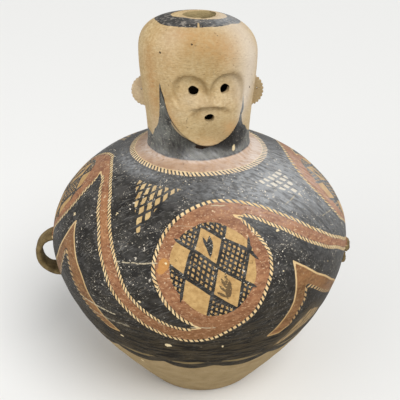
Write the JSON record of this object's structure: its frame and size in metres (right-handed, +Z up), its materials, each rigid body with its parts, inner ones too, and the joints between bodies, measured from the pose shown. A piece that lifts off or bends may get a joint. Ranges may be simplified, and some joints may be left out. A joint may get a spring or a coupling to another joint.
{
  "type": "terracotta funerary jar",
  "caption": "Wide-bellied hollow clay jar whose neck is a human head with pierced eyes and mouth, painted with whorls and hatched roundels, open at the crown.",
  "frame": {"origin": "on the ground under the neck's axis, inside the flat foot", "axes": "+Z up; X runs through the two ears; the face looks along -Y, turned ten degrees towards +X"},
  "size_m": [0.351, 0.3268, 0.4194],
  "materials": {
    "fired_clay": "burnished earthenware with painted slips"
  },
  "bodies": {
    "root": {"jar": "fired_clay"}
  },
  "joints": []
}
